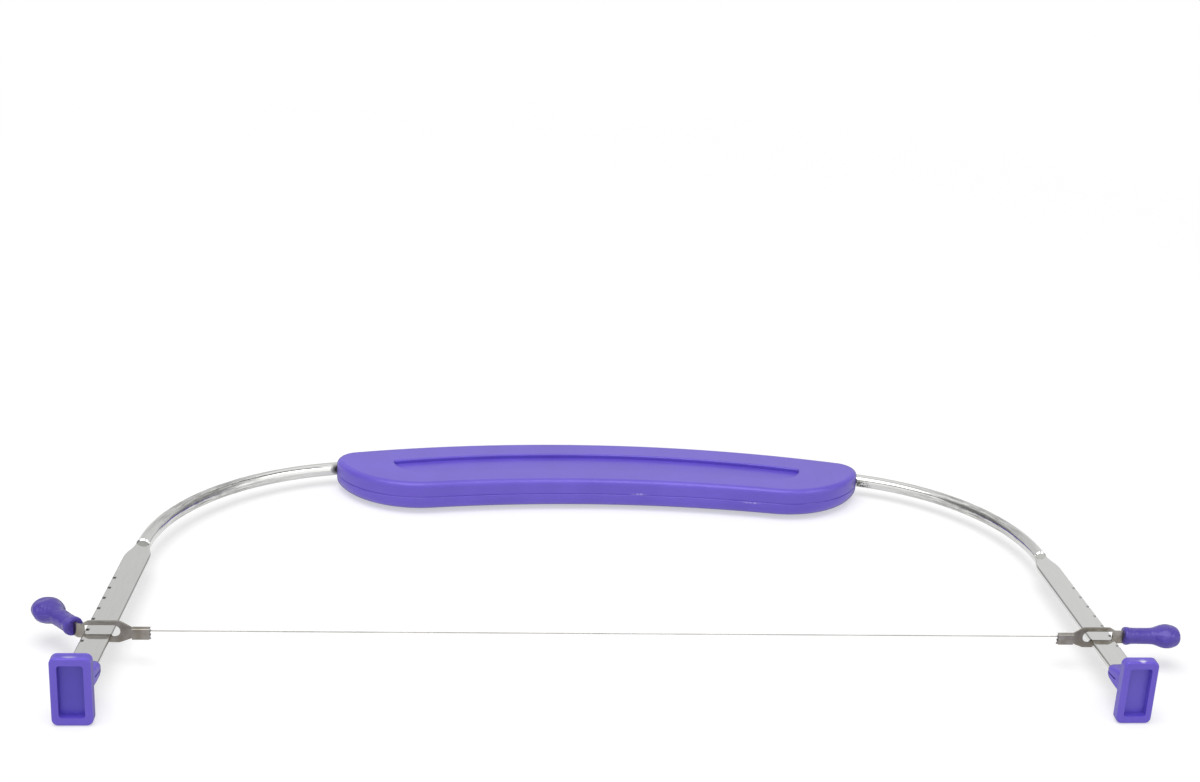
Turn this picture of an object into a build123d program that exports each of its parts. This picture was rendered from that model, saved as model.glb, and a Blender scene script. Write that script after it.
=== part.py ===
from build123d import *
import math
import os

# A wire bow for levelling cakes, lying flat as it rests on a table.
# Everything is drawn in the bow's own plane: X runs along the cutting wire, Y from the soles to the handle,
# Z out of the plane. The last step tilts the bow so that the feet and the handle both touch the table, and
# puts the origin under the middle of the whole.

# Bow
half_span = 132.6          # middle of the bow to a leg's axis, at the soles
leg_splay = 2.63           # degrees each leg leans inwards towards the handle
leg_length = 83.1          # sole to neck, along the leg
bend_radius = 63.8         # rod axis at the shoulders
rod_diameter = 4.0
strip_width = 7.0
strip_thickness = 1.45
strip_edge_round = 0.45
flare_length = 9.0         # neck to the full width of the strip
neck_end = 0.5             # length of round rod that stands proud of the flat
neck_bevel = 0.35
cut_overrun = 2.0          # how far any cutting tool runs past the material

# Notches for the clips, on the outer edge of each leg
notch_count = 8
first_notch_distance = 23.85   # sole to the first notch, along the leg
notch_pitch = 6.07
notch_depth = 0.85
notch_width = 1.1
clip_notch = 1             # notches counted from the foot, starting at 0, where the clips hang

# Feet
foot_width = 9.55
foot_height = 18.05
foot_drop = 0.775          # middle of the plate below the bow's plane
foot_plate = 3.2
foot_corner_radius = 1.6
foot_edge_round = 0.6
foot_back_round = 0.3
recess_width = 6.0
recess_height = 13.9
recess_depth = 1.8
recess_rise = 0.12         # middle of the recess above the plate's middle
recess_corner_radius = 0.7
recess_draft = 3.0         # degrees
boss_sections = (
    # distance from the sole, half width in the bow's plane, half thickness
    (2.4, 3.5, 3.0),
    (5.0, 3.85, 2.9),
    (7.6, 4.25, 2.5),
    (10.0, 4.5, 2.0),
    (11.2, 4.4, 1.75),
    (12.1, 4.0, 1.45),
)
boss_corner_radius = 1.2
strip_seat = 2.6           # sole to the end of the strip, along the leg
socket_gap = 0.04
slit_width = 0.4
slit_length = 5.6

# Clips, one sheet of metal each
sheet = 0.65
slot_height = 3.4
slot_lift = 0.45           # middle of the slot above the leg's middle
slot_inner = 126.2         # middle of the bow to the slot's round inner end
slot_corner_radius = 0.4
seat_gap = 0.05            # slot end to the leg's outer edge
upper_rim = 1.05
lower_rim = 1.35
outer_rim = 0.8
tab_end = 118.9            # middle of the bow to the tab's toothed edge
tab_root = 123.3           # middle of the bow to the start of the tab
plate_shoulder = 126.4     # middle of the bow to the plate's full height
tab_height = 3.3
tab_drop = 0.5             # middle of the tab below the middle of the slot
tab_waist = 2.7
tooth_depth = 0.35
tooth_count = 3
wire_diameter = 0.36
crimp_gap = 0.4            # space between the folded leaves of the tab
fold_corner_radius = 0.3   # corners of the fold, which is pressed flat
tang_height = 3.6
tang_free = 2.3            # plate to the grip's mouth, along the sheet
tang_bend_radius = 1.6     # middle of the sheet
tang_cover_share = 4       # side of the squares that trim the bend, in bend radii
tang_tongue_height = 2.0
tang_tongue_length = 8.0
left_tang_angle = 49.4     # degrees the left tang is bent back
right_tang_angle = 0.0

# Grips, along their own axis from the mouth
grip_lift = 0.35           # grip's axis above the middle of the tang
grip_sections = (
    # distance from the mouth, half width in the bow's plane, half thickness
    (0.0, 2.4, 2.3),
    (0.4, 2.6, 2.5),
    (1.2, 2.55, 2.45),
    (1.8, 2.4, 2.3),
    (8.2, 2.4, 2.25),
    (9.0, 2.8, 2.45),
    (10.0, 3.65, 2.85),
    (11.1, 4.2, 3.15),
    (12.3, 4.35, 3.25),
    (13.5, 4.2, 3.15),
    (14.8, 3.5, 2.65),
    (15.9, 2.3, 1.75),
)
grip_length = 16.8
tang_fit = 0.03

# Wire
wire_end = 120.9           # middle of the bow to the wire's hidden end

# Handle
handle_half_length = 81.4
handle_behind_rod = 12.6   # rod's axis to the middle of the back edge
handle_shift = 1.0         # handle's middle to the right of the bow's
handle_depth = 31.0        # back edge to front edge, in the middle
handle_back_radius = 275.0
handle_front_radius = 280.0
handle_half = 4.6          # half its thickness
handle_front_corner_radius = 26.0
handle_back_corner_radius = 7.0
handle_top_side = 2.9      # parting to the start of the upper edge's rounding
handle_bottom_side = 1.1   # parting to the start of the lower edge's rounding
parting_bevel = 0.2
panel_shift = -1.0         # panel's middle from the handle's middle
panel_half_length = 63.3
panel_behind = 9.5         # handle's back edge to the panel's, in the middle
panel_width = 12.0         # panel's back edge to its front edge, in the middle
panel_back_radius = 235.0
panel_front_radius = 300.0
panel_corner_length = 12.0
panel_bulge = 3.6          # how far the curved end stands out
panel_depth = 1.3
panel_point_round = 1.0
panel_edge_round = 0.55
rod_gap = 0.03
peg_diameter = 3.0
peg_length = 2.2
peg_gap = 0.05
peg_bore_extra = 0.4
peg_places = (
    # distance from the handle's middle, distance behind the rod
    (38.0, 7.0),
    (47.5, -14.4),
)

splay = math.radians(leg_splay)
bend_centre_x = half_span - leg_length * math.sin(splay) - bend_radius * math.cos(splay)
bend_centre_y = leg_length * math.cos(splay) - bend_radius * math.sin(splay)
rod_run_y = bend_centre_y + bend_radius
strip_half = strip_width / 2
clip_along = first_notch_distance + clip_notch * notch_pitch
notch_x = half_span + strip_half * math.cos(splay) - clip_along * math.sin(splay)
clip_y = clip_along * math.cos(splay) + strip_half * math.sin(splay)
slot_outer = notch_x + sheet / 2 * math.tan(splay) + seat_gap
tang_start = slot_outer + outer_rim
tab_middle = slot_lift - tab_drop
fold_outer = sheet + crimp_gap / 2
fold_y = clip_y - sheet / 2 - crimp_gap / 2
fold_z = tab_middle + tab_height / 2 - fold_outer
boss_mouth = boss_sections[-1][0]
boss_widest = max(row[1] for row in boss_sections)
foot_bottom = foot_height / 2 + foot_drop
handle_back = rod_run_y + handle_behind_rod
handle_front = handle_back - handle_depth
handle_top_round = handle_half - handle_top_side
handle_bottom_round = handle_half - handle_bottom_side
panel_back = handle_back - panel_behind
panel_front = panel_back - panel_width


def on_leg(shape):
    """Move a shape drawn along a leg (Y from the sole, X outwards) to the right leg."""
    return Location((half_span, 0, 0)) * Rotation(0, 0, leg_splay) * shape


def mirrored(shape):
    """The same shape on the bow's left side."""
    return mirror(shape, about=Plane.YZ)


def box_between(low, high):
    """A box between two opposite corners."""
    size = [b - a for a, b in zip(low, high)]
    middle = [(a + b) / 2 for a, b in zip(low, high)]
    return Location(tuple(middle)) * Box(*size)


def leg_strip():
    """The flat part of one leg: a bar that flares from the round rod to its full width."""
    flare_start = leg_length - flare_length
    radius = rod_diameter / 2
    middle = ((strip_half + radius) / 2, leg_length - flare_length / 2)
    with BuildPart() as bar:
        with BuildSketch():
            with BuildLine():
                Line((0, strip_seat), (strip_half, strip_seat))
                Line((strip_half, strip_seat), (strip_half, flare_start))
                TangentArc((strip_half, flare_start), middle, tangent=(0, 1))
                TangentArc((radius, leg_length), middle, tangent=(0, -1))
                Line((radius, leg_length), (0, leg_length))
                mirror(about=Plane.YZ)
            make_face()
        extrude(amount=strip_thickness / 2, both=True)
        sides = bar.edges().filter_by(lambda e: abs(e.center().Z) > strip_thickness / 4)
        sides = sides.filter_by(lambda e: abs(e.center().X) > radius / 2)
        fillet(sides, strip_edge_round)
    return bar.part


def notches():
    """The row of round-bottomed notches, as cutting tools along one leg's outer edge."""
    tools = []
    for index in range(notch_count):
        along = first_notch_distance + index * notch_pitch
        bottom = strip_half - notch_depth + notch_width / 2
        tool = Location((bottom, along, 0)) * Cylinder(notch_width / 2, strip_width)
        tool += box_between(
            (bottom, along - notch_width / 2, -strip_half),
            (strip_half + cut_overrun, along + notch_width / 2, strip_half))
        tools.append(tool)
    return tools


def neck_stub():
    """The last of the round rod, with the bevelled step where it meets the flat faces."""
    place = Location((0, leg_length - neck_end / 2, 0))
    stub = place * Rotation(90, 0, 0) * Cylinder(rod_diameter / 2, neck_end)
    return chamfer(stub.edges().filter_by(GeomType.CIRCLE).sort_by(Axis.Y)[0], neck_bevel)


def bow():
    """The rod with its two shoulders and its two flattened, notched legs."""
    radius = rod_diameter / 2
    neck_x = bend_centre_x + bend_radius * math.cos(splay)
    neck_y = bend_centre_y + bend_radius * math.sin(splay)
    middle_angle = (math.pi / 2 + splay) / 2
    mid_x = bend_centre_x + bend_radius * math.cos(middle_angle)
    mid_y = bend_centre_y + bend_radius * math.sin(middle_angle)
    right_bend = ThreePointArc((neck_x, neck_y), (mid_x, mid_y), (bend_centre_x, rod_run_y))
    run = Line((bend_centre_x, rod_run_y), (-bend_centre_x, rod_run_y))
    left_bend = ThreePointArc((-bend_centre_x, rod_run_y), (-mid_x, mid_y), (-neck_x, neck_y))
    path = Wire([right_bend, run, left_bend])
    start = Plane(origin=(neck_x, neck_y, 0), z_dir=(-math.sin(splay), math.cos(splay), 0))
    rod = sweep(start * Circle(radius), path=path)
    leg = leg_strip()
    for tool in notches():
        leg -= tool
    leg = on_leg(leg + neck_stub())
    return rod + leg + mirrored(leg)


def foot():
    """Right foot: sole plate with a recess, and a flat, rounded socket for the strip's end."""
    half_w = foot_width / 2
    plate = box_between(
        (half_span - half_w, 0, -foot_bottom), (half_span + half_w, foot_plate, foot_height - foot_bottom))
    plate = fillet(plate.edges().filter_by(Axis.Y), foot_corner_radius)
    front = plate.faces().sort_by(Axis.Y)[0]
    plate = fillet(front.edges(), foot_edge_round)
    back = plate.faces().sort_by(Axis.Y)[-1]
    plate = fillet(back.edges(), foot_back_round)
    mouth = Plane(origin=(half_span, 0, recess_rise - foot_drop), x_dir=(1, 0, 0), z_dir=(0, 1, 0))
    opening = mouth * RectangleRounded(recess_width, recess_height, recess_corner_radius)
    sections = []
    for along, wide, thick in boss_sections:
        plane = Plane(origin=(0, along, 0), x_dir=(1, 0, 0), z_dir=(0, 1, 0))
        sections.append(plane * RectangleRounded(wide * 2, thick * 2, boss_corner_radius))
    body = plate + on_leg(loft(sections, ruled=True))
    body -= extrude(opening, amount=recess_depth, taper=recess_draft)
    socket = box_between(
        (-strip_half - socket_gap, strip_seat, -strip_thickness / 2 - socket_gap),
        (strip_half + socket_gap, boss_mouth + cut_overrun, strip_thickness / 2 + socket_gap))
    slit = box_between(
        (-boss_widest - cut_overrun, boss_mouth - slit_length, -slit_width / 2),
        (0, boss_mouth + cut_overrun, slit_width / 2))
    return body - on_leg(socket) - on_leg(slit)


def tang_mouth(angle):
    """Where the grip's mouth sits: x, y and the direction of the tang there, in radians."""
    turn = math.radians(angle)
    lead = tang_free - tang_bend_radius * turn
    x = tang_start + tang_bend_radius * math.sin(turn) + lead * math.cos(turn)
    y = clip_y + tang_bend_radius * (1 - math.cos(turn)) + lead * math.sin(turn)
    return x, y, turn


def clip_plate():
    """The flat part of the clip with its slot and the back leaf of the tab."""
    top = slot_lift + slot_height / 2 + upper_rim
    bottom = slot_lift - slot_height / 2 - lower_rim
    waist = tab_waist / 2
    half = tab_height / 2
    tang = tang_height / 2
    plane = Plane(origin=(0, clip_y, 0), x_dir=(1, 0, 0), z_dir=(0, -1, 0))
    with BuildPart() as plate:
        with BuildSketch(plane):
            Polygon(
                (tab_end, fold_z), (tab_end, tab_middle - half), (tab_root, tab_middle - waist),
                (plate_shoulder, bottom), (notch_x - outer_rim, bottom),
                (tang_start, slot_lift - tang), (tang_start, slot_lift + tang),
                (notch_x - outer_rim, top), (plate_shoulder, top), (tab_root, tab_middle + waist),
                (tab_root, fold_z), align=None)
        extrude(amount=sheet / 2, both=True)
        corners = plate.edges().filter_by(Axis.Y)
        wide = corners.filter_by(lambda e: plate_shoulder - sheet < e.center().X < notch_x)
        fillet(wide, upper_rim)
        with BuildSketch(plane):
            with Locations(((slot_inner + slot_outer) / 2, slot_lift)):
                Rectangle(slot_outer - slot_inner, slot_height)
        extrude(amount=sheet, both=True, mode=Mode.SUBTRACT)
        ends = plate.edges().filter_by(Axis.Y)
        inner = ends.filter_by(lambda e: abs(e.center().X - slot_inner) < slot_corner_radius / 4)
        inner = inner.filter_by(lambda e: abs(e.center().Z - slot_lift) < slot_height * 0.6)
        fillet(inner, slot_height * 0.49)
        ends = plate.edges().filter_by(Axis.Y)
        outer = ends.filter_by(lambda e: abs(e.center().X - slot_outer) < slot_corner_radius / 4)
        outer = outer.filter_by(lambda e: abs(e.center().Z - slot_lift) < slot_height * 0.6)
        fillet(outer, slot_corner_radius)
    return plate.part


def tab_fold():
    """The tab's front leaf and the fold over the wire, with a toothed end."""
    half = tab_height / 2
    front = fold_y - crimp_gap / 2
    with BuildPart() as fold:
        with BuildSketch(Plane(origin=(tab_end, fold_y, fold_z), x_dir=(0, 1, 0), z_dir=(1, 0, 0))):
            RectangleRounded(fold_outer * 2, fold_outer * 2, fold_corner_radius)
            Circle(crimp_gap / 2, mode=Mode.SUBTRACT)
            with Locations((0, -fold_outer)):
                Rectangle(fold_outer * 2, fold_outer * 2, mode=Mode.SUBTRACT)
        extrude(amount=tab_root - tab_end)
    leaf = box_between(
        (tab_end, front - sheet, tab_middle - half + tooth_depth), (tab_root, front, fold_z))
    return fold.part + leaf


def tab_teeth():
    """Small wedges that cut the tab's end edge to a zigzag."""
    pitch = tab_height / tooth_count
    low = tab_middle - tab_height / 2
    wedges = []
    for index in range(tooth_count):
        with BuildPart() as wedge:
            with BuildSketch(Plane(origin=(0, fold_y, 0), x_dir=(1, 0, 0), z_dir=(0, -1, 0))):
                middle = low + (index + 0.5) * pitch
                Polygon(
                    (tab_end - tooth_depth, middle - pitch), (tab_end + tooth_depth, middle),
                    (tab_end - tooth_depth, middle + pitch), align=None)
            extrude(amount=fold_outer * 2, both=True)
        wedges.append(wedge.part)
    return wedges


def tang(angle):
    """The sheet beyond the slot: a bend if there is one, then the tongue inside the grip."""
    x, y, turn = tang_mouth(angle)
    lead = tang_free - tang_bend_radius * turn
    solid = None
    if turn:
        ring = Circle(tang_bend_radius + sheet / 2) - Circle(tang_bend_radius - sheet / 2)
        centre_y = clip_y + tang_bend_radius
        side = tang_bend_radius * tang_cover_share
        keep = Rectangle(side, side, align=(Align.MIN, Align.MAX))
        drop = Rotation(0, 0, angle) * Rectangle(side, side, align=(Align.MIN, Align.CENTER))
        sector = (ring & keep) - drop
        solid = extrude(Location((tang_start, centre_y, 0)) * sector, amount=tang_height / 2, both=True)
    straight = Location((x, y, 0)) * Rotation(0, 0, angle) * box_between(
        (-lead, -sheet / 2, -tang_height / 2), (0, sheet / 2, tang_height / 2))
    tongue = Location((x, y, 0)) * Rotation(0, 0, angle) * box_between(
        (0, -sheet / 2, -tang_tongue_height / 2),
        (tang_tongue_length, sheet / 2, tang_tongue_height / 2))
    whole = straight + tongue if solid is None else solid + straight + tongue
    return Location((0, 0, slot_lift)) * whole


def wire_clip(angle):
    """Right clip, with its tang bent back by the given angle."""
    clip = clip_plate() + tang(angle) + tab_fold()
    for wedge in tab_teeth():
        clip -= wedge
    return clip


def grip(angle):
    """Right grip: a bulb with a slim, collared neck and a slot for the tang's tongue."""
    x, y, turn = tang_mouth(angle)
    sections = []
    for along, wide, thick in grip_sections:
        plane = Plane(origin=(along, 0, grip_lift), x_dir=(0, 1, 0), z_dir=(1, 0, 0))
        sections.append(plane * Ellipse(wide, thick))
    body = loft(sections + [Vertex(grip_length, 0, grip_lift)], ruled=True)
    slot = box_between(
        (-cut_overrun, -sheet / 2 - tang_fit, -tang_tongue_height / 2 - tang_fit),
        (tang_tongue_length + tang_fit, sheet / 2 + tang_fit, tang_tongue_height / 2 + tang_fit))
    return Location((x, y, slot_lift)) * Rotation(0, 0, angle) * (body - slot)


def arc_edge(middle_y, radius, half_length):
    """A shallow arc whose middle lies farthest from the soles."""
    drop = radius - math.sqrt(radius ** 2 - half_length ** 2)
    return ThreePointArc((-half_length, middle_y - drop), (0, middle_y), (half_length, middle_y - drop))


def toward(start, end, distance):
    """The point at a distance from the start, in the direction of the end."""
    share = distance / math.dist(start, end)
    return tuple(a + (b - a) * share for a, b in zip(start, end))


def flip(point):
    """The point's twin on the bow's other side."""
    return (-point[0], point[1])


def arc_round(centre, start, end, radius):
    """The short arc round a centre between two points that lie at its radius."""
    middle = tuple((a + b) / 2 for a, b in zip(start, end))
    return ThreePointArc(start, toward(centre, middle, radius), end)


def handle_outline():
    """The handle seen from above: two shallow arcs, joined at each end by a long curve and a small corner."""
    back_centre = (0, handle_back - handle_back_radius)
    front_centre = (0, handle_front - handle_front_radius)
    small_x = handle_half_length - handle_back_corner_radius
    small_reach = handle_back_radius - handle_back_corner_radius
    small = (small_x, back_centre[1] + math.sqrt(small_reach ** 2 - small_x ** 2))
    # The long curve touches the front arc from outside and the small corner from inside.
    front_reach = handle_front_radius + handle_front_corner_radius
    small_gap = handle_front_corner_radius - handle_back_corner_radius
    apart = math.dist(front_centre, small)
    along = (front_reach ** 2 - small_gap ** 2 + apart ** 2) / (2 * apart)
    aside = math.sqrt(front_reach ** 2 - along ** 2)
    foot_point = toward(front_centre, small, along)
    lean = math.atan2(small[1] - front_centre[1], small[0])
    large = (foot_point[0] - aside * math.sin(lean), foot_point[1] + aside * math.cos(lean))
    front_end = toward(front_centre, large, handle_front_radius)
    end_point = toward(large, small, handle_front_corner_radius)
    back_end = toward(back_centre, small, handle_back_radius)
    right_long = arc_round(large, front_end, end_point, handle_front_corner_radius)
    right_small = arc_round(small, end_point, back_end, handle_back_corner_radius)
    left_long = arc_round(flip(large), flip(front_end), flip(end_point), handle_front_corner_radius)
    left_small = arc_round(flip(small), flip(end_point), flip(back_end), handle_back_corner_radius)
    front = ThreePointArc(flip(front_end), (0, handle_front), front_end)
    back = ThreePointArc(flip(back_end), (0, handle_back), back_end)
    return make_face(Wire([front, right_long, right_small, back, left_small, left_long]).edges())


def panel_outline():
    """The inset panel: a lens with a curved front corner at each pointed end."""
    back = arc_edge(panel_back, panel_back_radius, panel_half_length)
    front = arc_edge(panel_front, panel_front_radius, panel_half_length - panel_corner_length)
    right = (panel_half_length, (back @ 1).Y)
    low = (panel_half_length - panel_corner_length, (front @ 1).Y)
    middle = tuple((a + b) / 2 for a, b in zip(right, low))
    bulge = (
        middle[0] + panel_bulge * (right[1] - low[1]) / math.dist(right, low),
        middle[1] - panel_bulge * panel_corner_length / math.dist(right, low))
    right_end = ThreePointArc(right, bulge, low)
    left_end = ThreePointArc(flip(right), flip(bulge), flip(low))
    face = make_face(Wire([back, right_end, front, left_end]).edges())
    return fillet(face.vertices(), panel_point_round)


def shell_blank(round_radius, sign):
    """One half of the handle, with its outer edge rounded and a fine bevel at the parting."""
    blank = extrude(handle_outline(), amount=sign * handle_half)
    flat = sorted(blank.faces(), key=lambda f: sign * f.center().Z)
    blank = fillet(flat[-1].edges(), round_radius)
    flat = sorted(blank.faces(), key=lambda f: sign * f.center().Z)
    return chamfer(flat[0].edges(), parting_bevel)


def rod_channel():
    """The space of the bow's rod inside the handle, with its small gap."""
    radius = rod_diameter / 2 + rod_gap
    straight = Location((0, rod_run_y, 0)) * Rotation(0, 90, 0) * Cylinder(radius, bend_centre_x * 2)
    quarter = box_between((0, 0, -bend_radius), (bend_radius * 2, bend_radius * 2, bend_radius))
    bend = Location((bend_centre_x, bend_centre_y, 0)) * (Torus(bend_radius, radius) & quarter)
    return straight + bend + mirrored(bend)


def pegs(diameter, length):
    """The locating pegs, reaching down from the parting plane."""
    found = []
    for x, behind in peg_places:
        for side in (-1, 1):
            place = Location((handle_shift + side * x, rod_run_y + behind, -length / 2))
            found.append(place * Cylinder(diameter / 2, length))
    return found


def handle_upper():
    """Upper shell with the inset panel and the pegs."""
    shell = shell_blank(handle_top_round, 1)
    floor_z = handle_half - panel_depth
    shell -= Location((panel_shift, 0, floor_z)) * extrude(panel_outline(), amount=cut_overrun)
    rim = shell.edges().filter_by(lambda e: abs(e.center().Z - handle_half) < panel_edge_round / 4)
    rim = rim.filter_by(lambda e: e.bounding_box().max.Y < panel_back + panel_edge_round)
    rim = rim.filter_by(lambda e: e.bounding_box().min.Y > handle_front)
    shell = Location((handle_shift, 0, 0)) * fillet(rim, panel_edge_round) - rod_channel()
    for peg in pegs(peg_diameter, peg_length):
        shell += peg
    return shell


def handle_lower():
    """Lower shell with the sockets for the pegs."""
    shell = Location((handle_shift, 0, 0)) * shell_blank(handle_bottom_round, -1) - rod_channel()
    for hole in pegs(peg_diameter + 2 * peg_gap, peg_length + peg_bore_extra):
        shell -= hole
    return shell


def cutting_wire():
    """The straight, taut wire between the two tabs."""
    return Location((0, fold_y, fold_z)) * Rotation(0, 90, 0) * Cylinder(wire_diameter / 2, wire_end * 2)


def bulb_reach(angle):
    """How far a grip reaches from the middle of the bow."""
    x, y, turn = tang_mouth(angle)
    widest = max(grip_sections, key=lambda row: row[1])
    nose = grip_length - widest[0]
    return x + widest[0] * math.cos(turn) + math.hypot(nose * math.cos(turn), widest[1] * math.sin(turn))


# The bow rests on the lower back edges of the feet and on the handle's underside.
rest_y = handle_back - handle_bottom_round
tilt = math.atan((foot_bottom - handle_half) / (rest_y - foot_plate))
plane_height = foot_bottom * math.cos(tilt) + foot_plate * math.sin(tilt)
middle_x = (bulb_reach(right_tang_angle) - bulb_reach(left_tang_angle)) / 2
middle_y = (handle_back * math.cos(tilt) - foot_bottom * math.sin(tilt)) / 2


def placed(shape):
    """Tilt a shape of the bow's plane to its resting place and centre it."""
    return Location((-middle_x, -middle_y, plane_height)) * Rotation(-math.degrees(tilt), 0, 0) * shape


nodes = {
    "bow": bow(),
    "handle_upper_shell": handle_upper(),
    "handle_lower_shell": handle_lower(),
    "left_foot": mirrored(foot()),
    "right_foot": foot(),
    "left_wire_clip": mirrored(wire_clip(left_tang_angle)),
    "right_wire_clip": wire_clip(right_tang_angle),
    "left_grip": mirrored(grip(left_tang_angle)),
    "right_grip": grip(right_tang_angle),
    "cutting_wire": cutting_wire(),
}

os.makedirs("parts", exist_ok=True)
for name, shape in nodes.items():
    part = placed(shape)
    part.label = name
    export_step(part, f"parts/{name}.step")
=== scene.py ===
import bpy
import math
from mathutils import Matrix, Vector


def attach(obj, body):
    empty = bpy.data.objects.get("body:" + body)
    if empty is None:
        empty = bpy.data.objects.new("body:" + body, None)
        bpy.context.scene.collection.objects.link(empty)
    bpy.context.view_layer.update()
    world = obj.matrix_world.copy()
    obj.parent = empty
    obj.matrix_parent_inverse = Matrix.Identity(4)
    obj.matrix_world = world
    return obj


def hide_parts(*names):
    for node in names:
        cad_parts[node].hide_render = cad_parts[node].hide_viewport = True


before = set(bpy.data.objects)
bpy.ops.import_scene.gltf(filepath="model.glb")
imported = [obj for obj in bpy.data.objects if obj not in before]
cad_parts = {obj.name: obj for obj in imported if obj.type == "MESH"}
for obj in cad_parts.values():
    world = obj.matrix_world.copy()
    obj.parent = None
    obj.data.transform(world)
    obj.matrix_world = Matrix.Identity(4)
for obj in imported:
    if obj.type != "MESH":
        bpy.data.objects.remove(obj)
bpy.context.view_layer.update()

MM = 0.001

# Sizes are millimetres in the bow's own plane: X runs along the wire, Y from the soles to the handle, and Z out
# of the plane. Those of the CAD's pieces are the ones in its source.
# Bow
HALF_SPAN = 132.6
LEG_SPLAY = math.radians(2.63)
LEG_LENGTH = 83.1
BEND_RADIUS = 63.8
STRIP_HALF = 3.5
# Middle of each bend, beside and above the origin, and the rod's straight run behind them.
BEND_X = HALF_SPAN - LEG_LENGTH * math.sin(LEG_SPLAY) - BEND_RADIUS * math.cos(LEG_SPLAY)
BEND_Y = LEG_LENGTH * math.cos(LEG_SPLAY) - BEND_RADIUS * math.sin(LEG_SPLAY)
ROD_Y = BEND_Y + BEND_RADIUS
# Notches, counted from the foot. The clips hang in the second one.
NOTCH_FIRST = 23.85
NOTCH_PITCH = 6.07
NOTCH_COUNT = 8
CLIP_ALONG = NOTCH_FIRST + NOTCH_PITCH
# Handle and feet, which touch the table
HANDLE_ENDS = (-80.4, 82.4)
HANDLE_BACK = ROD_Y + 12.6
HANDLE_HALF = 4.6         # half its thickness
HANDLE_EDGE_ROUND = 3.5   # of its lower edge
FOOT_BOTTOM = 9.8         # below the bow's plane
FOOT_PLATE = 3.2
# Clips: thin sheet, with a slot over the leg, a folded tab and a tang
SHEET = 0.65
SEAT_GAP = 0.05           # slot's end to the leg's outer edge
OUTER_RIM = 0.8
SLOT_LIFT = 0.45          # middle of the slot above the leg's middle
TAB_DROP = 0.5            # middle of the tab below the middle of the slot
TAB_HEIGHT = 3.3
CRIMP_GAP = 0.4           # between the folded leaves of the tab
TANG_FREE = 2.3           # plate to the grip's mouth, along the sheet
TANG_BEND_RADIUS = 1.6
LEFT_BEND = math.radians(49.4)
CLIP_Y = CLIP_ALONG * math.cos(LEG_SPLAY) + STRIP_HALF * math.sin(LEG_SPLAY)
NOTCH_X = HALF_SPAN + STRIP_HALF * math.cos(LEG_SPLAY) - CLIP_ALONG * math.sin(LEG_SPLAY)
TANG_START = NOTCH_X + SHEET / 2 * math.tan(LEG_SPLAY) + SEAT_GAP + OUTER_RIM
# Wire: three strands laid up round each other, held in the folds of the two tabs
WIRE_Y = CLIP_Y - SHEET / 2 - CRIMP_GAP / 2
WIRE_Z = SLOT_LIFT - TAB_DROP + TAB_HEIGHT / 2 - SHEET - CRIMP_GAP / 2
WIRE_HALF_LENGTH = 120.9
STRAND_COUNT = 3
STRAND_RADIUS = 0.085
STRAND_OFFSET = 0.093
STRAND_SIDES = 8
LAY_LENGTH = 2.4
LAY_STEPS = 10
# Grips. The bulb is the solid's widest place: distance from the mouth, half width.
GRIP_LIFT = SLOT_LIFT + 0.35
GRIP_LENGTH = 16.8
GRIP_BULB = (12.3, 4.35)
GRIP_SIDES = 20
GRIP_WALL = 0.9
GRIP_MOUTH_DEPTH = 0.15
GRIP_RINGS = (
    # distance from the mouth, half width in the bow's plane, half thickness
    (0.0, 2.4, 2.3), (0.35, 2.6, 2.5), (1.15, 2.64, 2.52), (1.75, 2.42, 2.3), (2.4, 2.38, 2.22),
    (7.6, 2.38, 2.22), (8.7, 2.66, 2.35), (9.8, 3.4, 2.72), (11.0, 4.06, 3.15), (12.3, 4.26, 3.3),
    (13.6, 4.1, 3.2), (14.9, 3.54, 2.75), (15.9, 2.62, 2.1), (16.55, 1.55, 1.25))
GRIP_DIMPLES = (
    # place on one side of the bulb, push, reach
    ((3.2, 2.2, 11.0), (-0.34, -0.32, 0), 2.3),
    ((3.4, -1.0, 13.8), (-0.42, 0.1, 0), 2.0),
    ((1.2, 3.0, 13.6), (0, -0.42, 0), 1.8))
# Camera, fitted to the photograph's own points. Its place is seen from the point of the table under the bow's
# origin, and its turns are degrees. The picture is a crop, so its axis lies off centre.
CAMERA_PLACE = (-43.806, -417.345, 256.487)
CAMERA_TURNS = (67.548, -5.400, -9.115)
CAMERA_LENS = 57.85
CAMERA_SHIFT = (-0.180, 0.0325)


def tang_mouth(bend):
    """Where a grip's mouth sits, for a tang bent back by an angle, on the right side."""
    lead = TANG_FREE - TANG_BEND_RADIUS * bend
    return (
        TANG_START + TANG_BEND_RADIUS * math.sin(bend) + lead * math.cos(bend),
        CLIP_Y + TANG_BEND_RADIUS * (1 - math.cos(bend)) + lead * math.sin(bend))


def grip_reach(bend):
    """How far a grip reaches from the middle of the bow."""
    along, half_width = GRIP_BULB
    nose = math.hypot((GRIP_LENGTH - along) * math.cos(bend), half_width * math.sin(bend))
    return tang_mouth(bend)[0] + along * math.cos(bend) + nose


# The bow leans down towards the handle, and the frame's origin lies under the middle of the whole.
TILT = math.atan((FOOT_BOTTOM - HANDLE_HALF) / (HANDLE_BACK - HANDLE_EDGE_ROUND - FOOT_PLATE))
PLANE_HEIGHT = FOOT_BOTTOM * math.cos(TILT) + FOOT_PLATE * math.sin(TILT)
MIDDLE_X = (grip_reach(0.0) - grip_reach(LEFT_BEND)) / 2
MIDDLE_Y = (HANDLE_BACK * math.cos(TILT) - FOOT_BOTTOM * math.sin(TILT)) / 2


def in_bow(x, y, z):
    """A point of the bow's plane, in millimetres, as a point of the frame in metres."""
    return Vector((
        (x - MIDDLE_X) * MM,
        (y * math.cos(TILT) + z * math.sin(TILT) - MIDDLE_Y) * MM,
        (-y * math.sin(TILT) + z * math.cos(TILT) + PLANE_HEIGHT) * MM))


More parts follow.
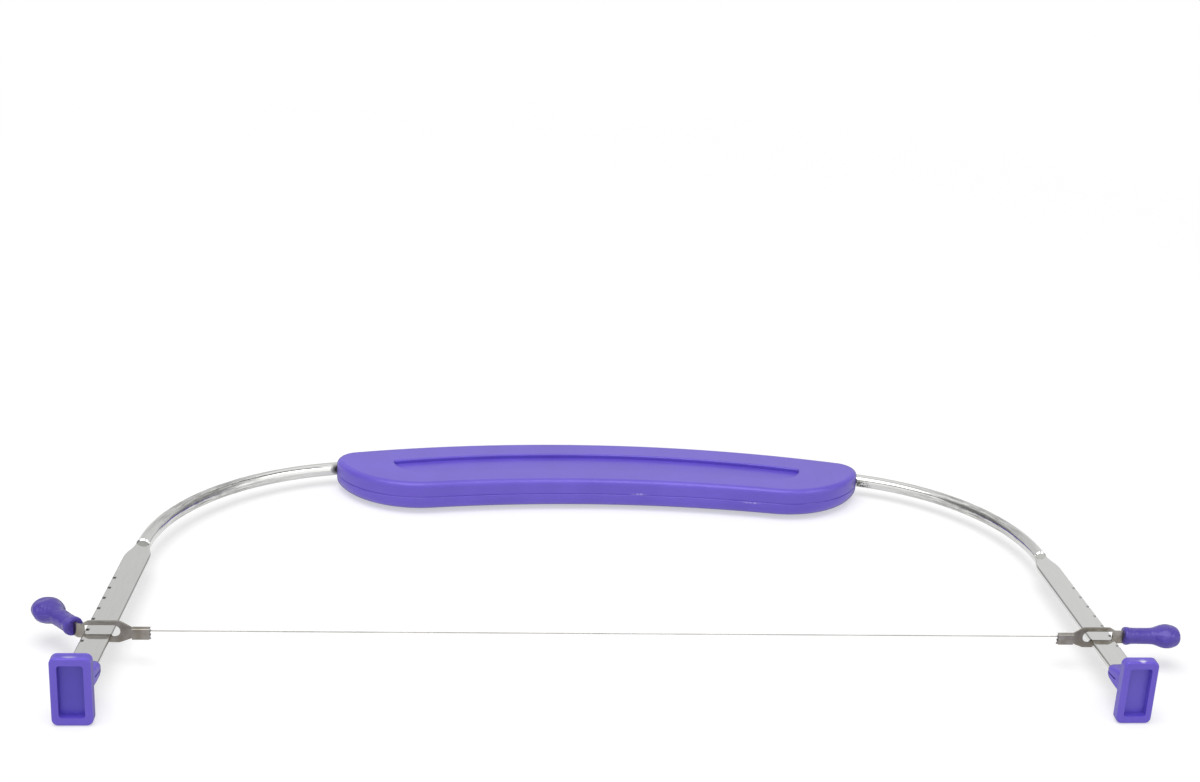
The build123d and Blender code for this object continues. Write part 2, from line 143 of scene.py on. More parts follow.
def linear(colour):
    """An sRGB hex colour as linear RGBA. A number is a grey that is linear already."""
    if isinstance(colour, float):
        return (colour, colour, colour, 1.0)
    values = []
    for index in (0, 2, 4):
        share = int(colour[index:index + 2], 16) / 255
        values.append(share / 12.92 if share <= 0.04045 else ((share + 0.055) / 1.055) ** 2.4)
    return (*values, 1.0)


def add_node(tree, kind, settings=None, links=None):
    """One node with its settings (attributes or inputs) and the links into its inputs."""
    node = tree.nodes.new(kind)
    for name, value in (settings or {}).items():
        if isinstance(name, str) and hasattr(node, name) and name not in node.inputs:
            setattr(node, name, value)
        else:
            node.inputs[name].default_value = value
    for name, source in (links or {}).items():
        tree.links.new(source, node.inputs[name])
    return node


def new_material(name, base, metallic, roughness):
    """A material with one Principled shader, its tree and its shader."""
    material = bpy.data.materials.new(name)
    material.use_nodes = True
    tree = material.node_tree
    shader = tree.nodes["Principled BSDF"]
    shader.inputs["Base Color"].default_value = linear(base)
    shader.inputs["Metallic"].default_value = metallic
    shader.inputs["Roughness"].default_value = roughness
    return material, tree, shader


def bow_place(tree):
    """Object coordinates turned into the bow's plane, in millimetres."""
    place = add_node(tree, "ShaderNodeTexCoord").outputs["Object"]
    shift = (
        MIDDLE_X,
        MIDDLE_Y * math.cos(TILT) + PLANE_HEIGHT * math.sin(TILT),
        MIDDLE_Y * math.sin(TILT) - PLANE_HEIGHT * math.cos(TILT))
    plane = {"Location": shift, "Rotation": (TILT, 0, 0), "Scale": (1 / MM, 1 / MM, 1 / MM)}
    return add_node(tree, "ShaderNodeMapping", plane, {"Vector": place}).outputs["Vector"]


def spot(tree, place, centre, reach):
    """A soft spot: 1 at its centre and 0 beyond its reach in each direction."""
    scale = tuple(1 / value for value in reach)
    shift = tuple(-value / size for value, size in zip(centre, reach))
    local = add_node(tree, "ShaderNodeMapping", {"Location": shift, "Scale": scale}, {"Vector": place})
    length = add_node(tree, "ShaderNodeVectorMath", {"operation": "LENGTH"}, {0: local.outputs["Vector"]})
    return add_node(
        tree, "ShaderNodeMapRange", {"From Min": 1.0, "From Max": 0.35}, {"Value": length.outputs["Value"]}
    ).outputs["Result"]


def where_all(tree, *masks):
    """Where all of the masks are on."""
    amount = masks[0]
    for mask in masks[1:]:
        both = add_node(tree, "ShaderNodeMath", {"operation": "MULTIPLY"}, {0: amount, 1: mask})
        amount = both.outputs["Value"]
    return amount


def layered(tree, colour, layers):
    """A colour with others laid over it in turn, each with the mask that says how far."""
    for over, mask in layers:
        laid = add_node(
            tree, "ShaderNodeMix", {"data_type": "RGBA", 7: linear(over)}, {"Factor": mask, 6: colour})
        colour = laid.outputs[2]
    return colour


def chipped(tree, place, scale, detail, nothing, full):
    """A mask that is broken up, as scraped skin and plating are."""
    flecks = add_node(tree, "ShaderNodeTexNoise", {"Scale": scale, "Detail": detail}, {"Vector": place})
    return add_node(
        tree, "ShaderNodeMapRange", {"From Min": nothing, "From Max": full}, {"Value": flecks.outputs["Fac"]}
    ).outputs["Result"]


def two_shades(tree, place, scale, detail, shades, stops):
    """A slow change from one shade to another and back: the noise behind it, and its colour."""
    noise = add_node(tree, "ShaderNodeTexNoise", {"Scale": scale, "Detail": detail}, {"Vector": place})
    ramp = add_node(tree, "ShaderNodeValToRGB", None, {"Fac": noise.outputs["Fac"]})
    for stop, position, shade in zip(ramp.color_ramp.elements, stops, shades):
        stop.position = position
        stop.color = linear(shade)
    return noise.outputs["Fac"], ramp.outputs["Color"]


def moulded_plastic(name, shades, satin, grain_depth, marks_and_shade=(), dents=0.0):
    """Polypropylene or vinyl from a spark-eroded mould: an even satin skin with a very fine grain.

    Marks are soft spots in the bow's plane: (shade, whether broken up, centre, reach); some are real marks,
    some painted shade. Dents are the soft hollows of a squeezed-on piece, about 3 mm across.
    """
    material, tree, shader = new_material(name, shades[1], 0.0, satin)
    place = add_node(tree, "ShaderNodeTexCoord").outputs["Object"]
    # Grain of about 0.35 mm, coarser than the real 0.1 mm so that it shows at all.
    grain = add_node(tree, "ShaderNodeTexNoise", {"Scale": 2800.0, "Detail": 2.0}, {"Vector": place})
    bump = add_node(
        tree, "ShaderNodeBump", {"Strength": 0.25, "Distance": grain_depth * MM},
        {"Height": grain.outputs["Fac"]})
    if dents:
        hollow = add_node(tree, "ShaderNodeTexNoise", {"Scale": 330.0, "Detail": 2.0}, {"Vector": place})
        shallow = add_node(
            tree, "ShaderNodeBump", {"Strength": 1.0, "Distance": dents * MM},
            {"Height": hollow.outputs["Fac"]})
        tree.links.new(shallow.outputs["Normal"], bump.inputs["Normal"])
    # Slow shade changes, about 15 mm across, as a thick moulding has.
    cloud, colour = two_shades(tree, place, 65.0, 3.0, shades, (0.3, 0.7))
    skin = add_node(
        tree, "ShaderNodeMapRange", {"To Min": satin - 0.06, "To Max": satin + 0.06}, {"Value": cloud})
    plane = bow_place(tree)
    # Scrapes are broken up by a 0.5 mm noise.
    chips = chipped(tree, plane, 2.2, 2.0, 0.46, 0.58)
    for shade, broken, centre, reach in marks_and_shade:
        amount = spot(tree, plane, centre, reach)
        if broken:
            amount = where_all(tree, amount, chips)
        colour = layered(tree, colour, ((shade, amount),))
    # Painted shade: the skin's colour is darkened where it curves away from the eye, standing in for dark
    # reflections at grazing angles. The skin is also made duller there.
    turn = add_node(tree, "ShaderNodeLayerWeight", {"Blend": 0.5})
    rim_shade = add_node(
        tree, "ShaderNodeMapRange", {"From Min": 0.62, "From Max": 0.95, "To Max": 0.8},
        {"Value": turn.outputs["Facing"]})
    colour = layered(tree, colour, (("2B2262", rim_shade.outputs["Result"]),))
    rough = add_node(
        tree, "ShaderNodeMath", {"operation": "MAXIMUM"},
        {0: skin.outputs["Result"], 1: rim_shade.outputs["Result"]})
    tree.links.new(colour, shader.inputs["Base Color"])
    tree.links.new(rough.outputs["Value"], shader.inputs["Roughness"])
    tree.links.new(bump.outputs["Normal"], shader.inputs["Normal"])
    shader.inputs["Specular IOR Level"].default_value = 0.3 if dents else 0.5
    return material


def polishing_strokes(tree, folded, parts):
    """Polishing strokes along the round rod, about 7 mm long, on its bends.

    Real ones are a tenth of a millimetre wide, but these are drawn 0.6 mm wide so that they show. The bends
    were polished by hand and carry them; the flats and the straight run are smooth.
    """
    from_bend = add_node(
        tree, "ShaderNodeVectorMath", {"operation": "SUBTRACT", 1: (BEND_X, BEND_Y, 0)}, {0: folded})
    beyond = add_node(
        tree, "ShaderNodeVectorMath", {"operation": "MAXIMUM", 1: (0, 0, -10)},
        {0: from_bend.outputs["Vector"]})
    flat = add_node(
        tree, "ShaderNodeVectorMath", {"operation": "MULTIPLY", 1: (1, 1, 0)}, {0: beyond.outputs["Vector"]})
    across = add_node(tree, "ShaderNodeVectorMath", {"operation": "LENGTH"}, {0: flat.outputs["Vector"]})
    run = add_node(tree, "ShaderNodeVectorMath", {"operation": "DOT_PRODUCT", 1: (1, -1, 0)}, {0: folded})
    place = add_node(
        tree, "ShaderNodeCombineXYZ", None,
        {"X": across.outputs["Value"], "Y": run.outputs["Value"], "Z": parts["Z"]})
    stretched = add_node(
        tree, "ShaderNodeMapping", {"Scale": (1.7, 0.13, 1.7)}, {"Vector": place.outputs["Vector"]})
    strokes = add_node(
        tree, "ShaderNodeTexNoise", {"Scale": 1.0, "Detail": 4.0, "Roughness": 0.65},
        {"Vector": stretched.outputs["Vector"]})
    worn = add_node(
        tree, "ShaderNodeMapRange", {"From Min": 0.4, "From Max": 0.62}, {"Value": strokes.outputs["Fac"]})
    rising = add_node(
        tree, "ShaderNodeMapRange", {"From Min": 86.0, "From Max": 106.0, "To Min": 0.06, "To Max": 1.0},
        {"Value": parts["Y"]})
    falling = add_node(
        tree, "ShaderNodeMapRange", {"From Min": 137.0, "From Max": 124.0, "To Min": 0.15, "To Max": 1.0},
        {"Value": parts["Y"]})
    return where_all(tree, worn.outputs["Result"], rising.outputs["Result"], falling.outputs["Result"])


def notch_grime_and_shade(tree, leg, parts):
    """Grime and painted shade within 0.7 mm of each notch's middle, at the leg's outer edge. The highest notch
    has none.
    """
    steps = add_node(
        tree, "ShaderNodeMapRange",
        {"From Min": NOTCH_FIRST, "From Max": NOTCH_FIRST + NOTCH_PITCH, "clamp": False}, {"Value": leg["Y"]})
    apart = add_node(
        tree, "ShaderNodeMath", {"operation": "PINGPONG", 1: 0.5}, {0: steps.outputs["Result"]})
    near = add_node(
        tree, "ShaderNodeMapRange", {"From Min": 0.75 / NOTCH_PITCH, "From Max": 0.45 / NOTCH_PITCH},
        {"Value": apart.outputs["Value"]})
    reach = (NOTCH_COUNT - 2) * NOTCH_PITCH / 2
    row = add_node(
        tree, "ShaderNodeMath", {"operation": "COMPARE", 1: NOTCH_FIRST + reach, 2: reach + 1.0},
        {0: leg["Y"]})
    edge = add_node(
        tree, "ShaderNodeMapRange", {"From Min": STRIP_HALF - 1.25, "From Max": STRIP_HALF - 0.95},
        {"Value": leg["X"]})
    # The right leg's notches get less grime and painted shade.
    cleaner = add_node(
        tree, "ShaderNodeMapRange", {"From Min": -1.0, "From Max": 1.0, "To Min": 1.0, "To Max": 0.55},
        {"Value": parts["X"]})
    return where_all(
        tree, near.outputs["Result"], edge.outputs["Result"], row.outputs["Value"], cleaner.outputs["Result"])


def strip_edge_shade(tree, leg, parts):
    """The rounded edges of the flats, where thin grey lines of painted shade are drawn."""
    height = add_node(tree, "ShaderNodeMath", {"operation": "ABSOLUTE"}, {0: parts["Z"]})
    wide = add_node(tree, "ShaderNodeMath", {"operation": "ABSOLUTE"}, {0: leg["X"]})
    high = add_node(
        tree, "ShaderNodeMapRange", {"From Min": 0.42, "From Max": 0.5}, {"Value": height.outputs["Value"]})
    outer = add_node(
        tree, "ShaderNodeMapRange", {"From Min": STRIP_HALF - 0.4, "From Max": STRIP_HALF - 0.25},
        {"Value": wide.outputs["Value"]})
    legs_only = add_node(
        tree, "ShaderNodeMapRange", {"From Min": 80.0, "From Max": 78.0, "To Max": 0.6},
        {"Value": parts["Y"]})
    return where_all(tree, high.outputs["Result"], outer.outputs["Result"], legs_only.outputs["Result"])


def bright_rod():
    """Nickel-chrome plated rod: bright all over, with fine polishing strokes along it.

    The notches hold grime and painted shade, which read as black dots. Where the rod enters the handle, its
    plating is scuffed on the right, and on the left the shadow in the handle's hole is painted on as a black
    patch.
    """
    material, tree, shader = new_material("plated_steel_rod", "D1D1CF", 1.0, 0.1)
    plane = bow_place(tree)
    parts = add_node(tree, "ShaderNodeSeparateXYZ", None, {"Vector": plane}).outputs
    # Both sides at once, as on the right.
    folded = add_node(tree, "ShaderNodeVectorMath", {"operation": "ABSOLUTE"}, {0: plane}).outputs["Vector"]
    # The place on a leg: X across it and Y along it.
    shift = (-HALF_SPAN * math.cos(LEG_SPLAY), HALF_SPAN * math.sin(LEG_SPLAY), 0)
    on_leg = add_node(
        tree, "ShaderNodeMapping", {"Location": shift, "Rotation": (0, 0, -LEG_SPLAY)}, {"Vector": folded})
    leg = add_node(tree, "ShaderNodeSeparateXYZ", None, {"Vector": on_leg.outputs["Vector"]}).outputs

    stroke = polishing_strokes(tree, folded, parts)
    scuffs = spot(tree, plane, (HANDLE_ENDS[1] + 1.8, ROD_Y - 4.6, -0.5), (5.0, 2.2, 1.9))
    scuffs = where_all(tree, scuffs, chipped(tree, plane, 1.6, 3.0, 0.42, 0.52))
    hole_shadow = spot(tree, plane, (HANDLE_ENDS[0] - 0.1, ROD_Y - 3.6, 0.5), (2.3, 2.2, 1.9))
    grime_and_shade = notch_grime_and_shade(tree, leg, parts)
    tone = add_node(
        tree, "ShaderNodeMix", {"data_type": "RGBA", 6: linear("D1D1CF"), 7: linear("9B9A98")},
        {"Factor": stroke})
    colour = layered(tree, tone.outputs[2], (
        ("5A5752", scuffs), ("35322E", hole_shadow), ("17130F", grime_and_shade), ("5E5B57", strip_edge_shade(tree, leg, parts))))
    polish = add_node(tree, "ShaderNodeMapRange", {"To Min": 0.07, "To Max": 0.28}, {"Value": stroke})
    dull = add_node(tree, "ShaderNodeMath", {"operation": "MULTIPLY", 1: 0.9}, {0: hole_shadow})
    rough = add_node(
        tree, "ShaderNodeMath", {"operation": "MAXIMUM"},
        {0: polish.outputs["Result"], 1: dull.outputs["Value"]})
    scratched = add_node(
        tree, "ShaderNodeBump", {"Strength": 0.35, "Distance": 0.03 * MM}, {"Height": stroke})
    # Neither the grime and painted shade in the notches nor the painted hole shadow is metal.
    bare = add_node(tree, "ShaderNodeMath", {"operation": "MAXIMUM"}, {0: grime_and_shade, 1: hole_shadow})
    metal = add_node(
        tree, "ShaderNodeMapRange", {"To Min": 1.0, "To Max": 0.0}, {"Value": bare.outputs["Value"]})
    tree.links.new(colour, shader.inputs["Base Color"])
    tree.links.new(metal.outputs["Result"], shader.inputs["Metallic"])
    tree.links.new(rough.outputs["Value"], shader.inputs["Roughness"])
    tree.links.new(scratched.outputs["Normal"], shader.inputs["Normal"])
    return material


def clip_sheet():
    """Nickel-plated steel sheet, cut and pressed: a half-dull grey metal with fine rolling lines."""
    material, tree, shader = new_material("pressed_nickel_sheet", "95918B", 1.0, 0.3)
    plane = bow_place(tree)
    # Rolling lines about 0.3 mm apart, along the clip.
    stretch = add_node(tree, "ShaderNodeMapping", {"Scale": (0.12, 3.0, 3.0)}, {"Vector": plane})
    lines = add_node(
        tree, "ShaderNodeTexNoise", {"Scale": 1.0, "Detail": 3.0}, {"Vector": stretch.outputs["Vector"]})
    rough = add_node(
        tree, "ShaderNodeMapRange", {"To Min": 0.2, "To Max": 0.4}, {"Value": lines.outputs["Fac"]})
    # Handling has left the plating slightly browner in patches of about 3 mm.
    tint = two_shades(tree, plane, 0.35, 2.0, ("857F75", "9D9993"), (0.35, 0.65))[1]
    tree.links.new(tint, shader.inputs["Base Color"])
    tree.links.new(rough.outputs["Result"], shader.inputs["Roughness"])
    return material


def drawn_wire():
    """Stainless spring wire, drawn through a die and twisted: bright, with duller and browner stretches."""
    material, tree, shader = new_material("drawn_stainless_wire", "B4B2AE", 1.0, 0.28)
    # The stretches are about 8 mm long.
    stretch = add_node(tree, "ShaderNodeMapping", {"Scale": (0.12, 1.0, 1.0)}, {"Vector": bow_place(tree)})
    rubbed, tint = two_shades(
        tree, stretch.outputs["Vector"], 1.0, 2.0, ("BAB8B5", "A29F99"), (0.35, 0.65))
    rough = add_node(tree, "ShaderNodeMapRange", {"To Min": 0.16, "To Max": 0.4}, {"Value": rubbed})
    tree.links.new(tint, shader.inputs["Base Color"])
    tree.links.new(rough.outputs["Result"], shader.inputs["Roughness"])
    return material


def deselect_all():
    """Nothing selected, so that the next operator acts on what it adds alone."""
    bpy.ops.object.select_all(action="DESELECT")


def wire_strand(index, turns):
    """One strand: a small circle beside the wire's axis, carried along a screw."""
    deselect_all()
    beside = (0, 0, STRAND_OFFSET * MM)
    bpy.ops.mesh.primitive_circle_add(
        vertices=STRAND_SIDES, radius=STRAND_RADIUS * MM, fill_type="NOTHING", location=beside)
    strand = bpy.context.object
    strand.name = f"wire_strand_{index + 1}"
    bpy.ops.object.mode_set(mode="EDIT")
    bpy.ops.mesh.select_all(action="SELECT")
    quarter = math.pi / 2
    share = index * 2 * math.pi / STRAND_COUNT
    for angle, axis, centre in ((quarter, "Y", beside), (quarter, "Z", beside), (share, "X", (0, 0, 0))):
        bpy.ops.transform.rotate(value=angle, orient_axis=axis, center_override=centre)
    bpy.ops.object.mode_set(mode="OBJECT")
    bpy.ops.object.transform_apply(location=True, rotation=True, scale=True)
    screw = strand.modifiers.new("lay", "SCREW")
    screw.axis = "X"
    screw.angle = 2 * math.pi
    screw.screw_offset = LAY_LENGTH * MM
    screw.iterations = turns
    screw.steps = LAY_STEPS
    screw.render_steps = LAY_STEPS
    screw.use_merge_vertices = False
    bpy.ops.object.modifier_apply(modifier="lay")
    # Both ends are closed.
    bpy.ops.object.mode_set(mode="EDIT")
    bpy.ops.mesh.select_all(action="DESELECT")
    bpy.ops.mesh.select_non_manifold()
    bpy.ops.mesh.fill_holes(sides=0)
    bpy.ops.mesh.select_all(action="SELECT")
    bpy.ops.mesh.normals_make_consistent(inside=False)
    start = in_bow(0, WIRE_Y, WIRE_Z) - Vector((turns * LAY_LENGTH * MM / 2, 0, 0))
    bpy.ops.transform.translate(value=start)
    bpy.ops.object.mode_set(mode="OBJECT")
    bpy.ops.object.shade_smooth()
    return strand


def twisted_wire(material):
    """Three strands laid up round each other."""
    turns = int(2 * WIRE_HALF_LENGTH / LAY_LENGTH)
    strands = [wire_strand(index, turns) for index in range(STRAND_COUNT)]
    deselect_all()
    for strand in strands:
        strand.select_set(True)
    bpy.context.view_layer.objects.active = strands[0]
    bpy.ops.object.join()
    wire = bpy.context.object
    wire.name = "twisted_cutting_wire"
    wire.data.materials.clear()
    wire.data.materials.append(material)
    return wire


def squeeze(centre, push, reach):
    """Press the skin in round one point of the mesh being edited, with a soft edge."""
    bpy.ops.mesh.select_all(action="DESELECT")
    data = bpy.context.object.data
    bpy.ops.object.mode_set(mode="OBJECT")
    nearest = min(data.vertices, key=lambda vertex: (vertex.co - centre).length)
    nearest.select = True
    bpy.ops.object.mode_set(mode="EDIT")
    bpy.ops.transform.translate(
        value=push, use_proportional_edit=True, proportional_edit_falloff="SMOOTH", proportional_size=reach)


def shaped_grip(name, side, bend, material):
    """A finger grip: a collared neck drawn out ring by ring to a flat bulb, then dimpled for the fingers."""
    deselect_all()
    bpy.ops.mesh.primitive_circle_add(vertices=GRIP_SIDES, radius=MM, fill_type="NGON", location=(0, 0, 0))
    grip = bpy.context.object
    grip.name = name
    bpy.ops.object.mode_set(mode="EDIT")
    bpy.ops.mesh.select_all(action="SELECT")
    bpy.ops.transform.resize(value=(*GRIP_RINGS[0][1:], 1), center_override=(0, 0, 0))
    for last, ring in zip(GRIP_RINGS, GRIP_RINGS[1:]):
        step = (0, 0, (ring[0] - last[0]) * MM)
        bpy.ops.mesh.extrude_region_move(TRANSFORM_OT_translate={"value": step})
        bpy.ops.transform.resize(
            value=(ring[1] / last[1], ring[2] / last[2], 1), center_override=(0, 0, ring[0] * MM))
    bpy.ops.mesh.merge(type="CENTER")
    # The open mouth round the tang.
    bpy.ops.mesh.select_all(action="DESELECT")
    bpy.ops.object.mode_set(mode="OBJECT")
    for face in grip.data.polygons:
        face.select = len(face.vertices) > 4
    bpy.ops.object.mode_set(mode="EDIT")
    bpy.ops.mesh.inset(thickness=GRIP_WALL * MM)
    bpy.ops.mesh.extrude_region_move(TRANSFORM_OT_translate={"value": (0, 0, GRIP_MOUTH_DEPTH * MM)})
    # The dimples on each side leave a slanting ridge between them.
    for turn in (-1, 1):
        for (x, y, z), (push_x, push_y, push_z), reach in GRIP_DIMPLES:
            push = Vector((turn * push_x, push_y, push_z))
            squeeze(Vector((turn * x, y, z)) * MM, push * MM, reach * MM)
    bpy.ops.mesh.select_all(action="SELECT")
    bpy.ops.mesh.normals_make_consistent(inside=False)
    bpy.ops.object.mode_set(mode="OBJECT")
    # Turned along the tang and carried to its mouth.
    along = Vector((side * math.cos(bend), math.sin(bend), 0))
    lift = Vector((0, 0, 1))
    turned = Matrix((lift.cross(along), lift, along)).transposed().to_4x4()
    tilted = Matrix.Rotation(-TILT, 4, "X")
    mouth_x, mouth_y = tang_mouth(bend)
    mouth = Matrix.Translation(in_bow(side * mouth_x, mouth_y, GRIP_LIFT))
    grip.matrix_world = mouth @ tilted @ turned
    bpy.ops.object.transform_apply(location=True, rotation=True, scale=True)
    finish = grip.modifiers.new("skin", "SUBSURF")
    finish.levels = 2
    finish.render_levels = 2
    bpy.ops.object.modifier_apply(modifier="skin")
    bpy.ops.object.shade_smooth()
    grip.data.materials.append(material)
    return grip


def give(node_name, material):
    """Assign a material to all of a CAD node's slots."""
    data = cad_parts[node_name].data
    data.materials.clear()
    data.materials.append(material)


def white_table():
    """A plain white table. The eye sees it nearly white, with the object's soft shadow kept."""
    deselect_all()
    bpy.ops.mesh.primitive_plane_add(size=8.0, location=(0, 0, 0))
    floor = bpy.context.object
    floor.name = "table"
    material = bpy.data.materials.new("white_table")
    material.use_nodes = True
    tree = material.node_tree
    tree.nodes.clear()
    lit = add_node(tree, "ShaderNodeBsdfDiffuse", {"Color": linear(0.88)})
    shown = add_node(tree, "ShaderNodeBsdfDiffuse", {"Color": linear(0.55)})
    glow = add_node(tree, "ShaderNodeEmission", {"Color": linear(1.0), "Strength": 0.5})
    near = add_node(
        tree, "ShaderNodeAddShader", None, {0: shown.outputs["BSDF"], 1: glow.outputs["Emission"]})
    # Far from the object the table is burnt out to plain white.
    place = add_node(tree, "ShaderNodeTexCoord").outputs["Object"]
    away = add_node(tree, "ShaderNodeVectorMath", {"operation": "LENGTH"}, {0: place})
    far = add_node(
        tree, "ShaderNodeMapRange", {"From Min": 0.25, "From Max": 0.6}, {"Value": away.outputs["Value"]})
    white = add_node(tree, "ShaderNodeEmission", {"Color": linear(1.0), "Strength": 1.0})
    seen = add_node(
        tree, "ShaderNodeMixShader", None,
        {"Fac": far.outputs["Result"], 1: near.outputs["Shader"], 2: white.outputs["Emission"]})
    # Only the camera and reflections see it so. Its own light on the object is that of a white table.
    rays = add_node(tree, "ShaderNodeLightPath").outputs
    eye = add_node(
        tree, "ShaderNodeMath", {"operation": "MAXIMUM"},
        {0: rays["Is Camera Ray"], 1: rays["Is Glossy Ray"]})
    surface = add_node(
        tree, "ShaderNodeMixShader", None,
        {"Fac": eye.outputs["Value"], 1: lit.outputs["BSDF"], 2: seen.outputs["Shader"]})
    add_node(tree, "ShaderNodeOutputMaterial", None, {"Surface": surface.outputs["Shader"]})
    floor.data.materials.append(material)
    return floor


def studio_world():
    """White to the eye, and a bright room to the metal.

    The room has a light grey backdrop, thin dark seams in the ceiling and dim walls at both ends, which draw
    the lines and the streaks along the rod.
    """
    world = bpy.data.worlds.new("studio")
    bpy.context.scene.world = world
    world.use_nodes = True
    sky = world.node_tree
    sky.nodes.clear()
    rays = add_node(sky, "ShaderNodeLightPath").outputs
    direction = add_node(sky, "ShaderNodeTexCoord").outputs["Generated"]
    parts = add_node(sky, "ShaderNodeSeparateXYZ", None, {"Vector": direction}).outputs

    def by_height(levels):
        """A grey ramp over the height of the direction, from the horizon to the zenith."""
        ramp = add_node(sky, "ShaderNodeValToRGB", None, {"Fac": parts["Z"]})
        stops = ramp.color_ramp.elements
        stops.remove(stops[1])
        for index, (position, level) in enumerate(levels):
            stop = stops[0] if index == 0 else stops.new(position)
            stop.position = position
            stop.color = linear(level)
        return ramp.outputs["Color"]

    def from_plane(normal, nothing, full):
        """How near a direction lies to a plane through the room's middle: 0 beyond nothing, 1 within full."""
        lean = add_node(sky, "ShaderNodeVectorMath", {"operation": "DOT_PRODUCT", 1: normal}, {0: direction})
        away = add_node(sky, "ShaderNodeMath", {"operation": "ABSOLUTE"}, {0: lean.outputs["Value"]})
        return add_node(
            sky, "ShaderNodeMapRange", {"From Min": nothing, "From Max": full},
            {"Value": away.outputs["Value"]}).outputs["Result"]

    def beyond(axis, nothing, full, most=1.0):
        """Rises from 0 to most while one part of the direction goes from nothing to full."""
        return add_node(
            sky, "ShaderNodeMapRange", {"From Min": nothing, "From Max": full, "To Max": most},
            {"Value": parts[axis]}).outputs["Result"]

    def seam(normal, axis, nothing, full):
        """A thin seam between the ceiling's sheets, on one side of the room."""
        return where_all(sky, from_plane(normal, 0.15, 0.06), beyond(axis, nothing, full))

    def wall(end, normal):
        """The wall at the left (-1) or the right (1) end, behind the object."""
        return where_all(sky, from_plane(normal, 0.52, 0.2), beyond("X", end * 0.55, end * 0.85))

    backdrop = by_height(((0.0, 0.35), (0.04, 0.92), (0.6, 0.92), (0.85, 1.35), (0.97, 1.0)))
    camera_side = beyond("Y", 0.05, -0.15)
    # High on the camera's side hangs a soft box, which draws the highlights on the grips. Below it, the
    # middle of that side is no brighter than the backdrop.
    soft_box = where_all(
        sky, from_plane((1, 0, 0), 0.8, 0.6), beyond("Y", -0.05, -0.2), beyond("Z", 0.6, 0.75))
    plain_middle = where_all(
        sky, from_plane((1, 0, 0), 0.45, 0.3), beyond("Y", -0.1, -0.3), beyond("Z", 0.75, 0.55))
    room = layered(sky, backdrop, (
        (1.5, camera_side),
        (5.0, soft_box),
        (0.95, plain_middle),
        (0.2, seam((0.867, -0.268, -0.418), "Z", 0.6, 0.75)),
        (0.2, seam((0.306, 0.444, 0.843), "X", -0.3, -0.45)),
        (0.28, wall(-1, (0.17, 0.98, 0))),
        (0.42, wall(1, (-0.34, 0.94, 0))),
        # The room is a little darker to the left.
        (0.2, beyond("X", 0.32, -0.2, 0.14))))
    white = add_node(sky, "ShaderNodeBackground", {"Color": linear(1.0), "Strength": 1.0})
    mirrored = add_node(sky, "ShaderNodeBackground", {"Strength": 1.0}, {"Color": room})
    # Dull surfaces get more light from the camera's side than from behind.
    front = add_node(
        sky, "ShaderNodeMapRange", {"From Min": 1.0, "From Max": -1.0, "To Min": 0.38, "To Max": 0.78},
        {"Value": parts["Y"]})
    soft = add_node(
        sky, "ShaderNodeBackground", {"Color": linear(1.0)}, {"Strength": front.outputs["Result"]})
    lighting = add_node(
        sky, "ShaderNodeMixShader", None,
        {"Fac": rays["Is Glossy Ray"], 1: soft.outputs["Background"], 2: mirrored.outputs["Background"]})
    seen = add_node(
        sky, "ShaderNodeMixShader", None,
        {"Fac": rays["Is Camera Ray"], 1: lighting.outputs["Shader"], 2: white.outputs["Background"]})
    add_node(sky, "ShaderNodeOutputWorld", None, {"Surface": seen.outputs["Shader"]})


def overhead_lamp():
    """One large soft box overhead. Its image in metal and plastic is part of the world's room instead."""
    data = bpy.data.lights.new("overhead_soft_box", "AREA")
    data.shape = "RECTANGLE"
    data.size = 1.0
    data.size_y = 0.8
    data.energy = 9.0
    lamp = bpy.data.objects.new("overhead_soft_box", data)
    bpy.context.scene.collection.objects.link(lamp)
    lamp.visible_glossy = False
    lamp.location = (-0.15, -0.2, 1.3)
    lamp.rotation_euler = (-lamp.location).to_track_quat("-Z", "Y").to_euler()


def photo_camera():
    """The photograph's own viewpoint."""
    data = bpy.data.cameras.new("camera")
    data.sensor_width = 36.0
    data.lens = CAMERA_LENS
    data.shift_x, data.shift_y = CAMERA_SHIFT
    data.clip_start = 0.01
    camera = bpy.data.objects.new("camera", data)
    bpy.context.scene.collection.objects.link(camera)
    camera.location = (Vector(CAMERA_PLACE) - Vector((MIDDLE_X, MIDDLE_Y, 0))) * MM
    camera.rotation_euler = [math.radians(turn) for turn in CAMERA_TURNS]
    bpy.context.scene.camera = camera


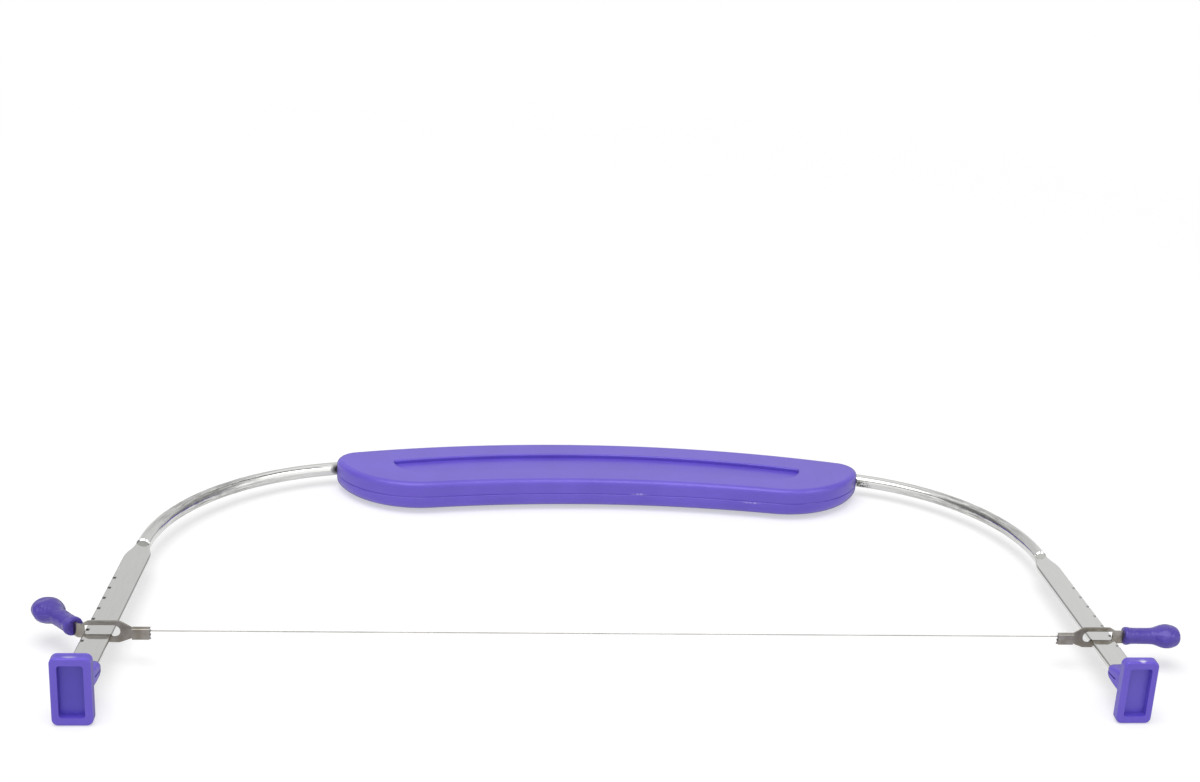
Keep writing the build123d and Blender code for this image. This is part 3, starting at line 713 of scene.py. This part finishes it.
# Handle, with pale scrapes beside the parting line, where it has been knocked.
SCRAPES = tuple(("AFA6E6", True, centre, reach) for centre, reach in (
    ((11.5, 125.4, 0.3), (3.2, 2.0, 0.4)),
    ((46.4, 121.8, -0.4), (3.6, 2.2, 0.35)),
    ((-63.4, 117.9, 0.7), (1.3, 2.0, 0.35))))
handle_plastic = moulded_plastic(
    "moulded_purple_polypropylene", ("6350C4", "6C59CE"), 0.32, 0.05, SCRAPES)
for name in ("handle_upper_shell", "handle_lower_shell"):
    give(name, handle_plastic)

# Feet. Each has a small near-white spot at its top edge, the right one a second spot below it. The floor
# of the recess in the sole is darker: painted shade, darker on the left foot than on the right.
PALE_SPOT = "F2F0FC"
RECESS_SHADE_REACH = (9.0, 1.1, 15.0)
FOOT_SPOTS_AND_SHADE = (
    (PALE_SPOT, False, (-HALF_SPAN - 0.2, 1.1, 8.65), (2.6, 1.1, 0.6)),
    (PALE_SPOT, False, (HALF_SPAN + 0.2, 1.1, 8.7), (2.6, 1.1, 0.6)),
    (PALE_SPOT, False, (HALF_SPAN + 0.2, 1.1, 8.1), (1.1, 1.1, 1.2)),
    ("5245B8", False, (-HALF_SPAN, 1.6, 1.2), RECESS_SHADE_REACH),
    ("6656C6", False, (HALF_SPAN, 1.6, 1.2), RECESS_SHADE_REACH))
foot_plastic = moulded_plastic(
    "moulded_purple_foot_polypropylene", ("6350C6", "6A57CE"), 0.4, 0.05, FOOT_SPOTS_AND_SHADE)
for name in ("left_foot", "right_foot"):
    give(name, foot_plastic)

# Bow and clips
give("bow", bright_rod())
sheet_metal = clip_sheet()
for name in ("left_wire_clip", "right_wire_clip"):
    give(name, sheet_metal)

# Grips, of softer, glossier plastic, squeezed on over the tangs.
grip_plastic = moulded_plastic("dipped_purple_vinyl", ("5142A0", "5C4CB0"), 0.24, 0.03, dents=0.5)
for side, name, bend in ((-1, "left", LEFT_BEND), (1, "right", 0.0)):
    grip = shaped_grip(f"{name}_finger_grip", side, bend, grip_plastic)
    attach(grip, f"{name}_clip")
    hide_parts(f"{name}_grip")

# Wire
wire = twisted_wire(drawn_wire())
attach(wire, "wire")
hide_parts("cutting_wire")

# Studio
white_table()
studio_world()
overhead_lamp()
photo_camera()
bpy.context.scene.view_settings.view_transform = "Standard"
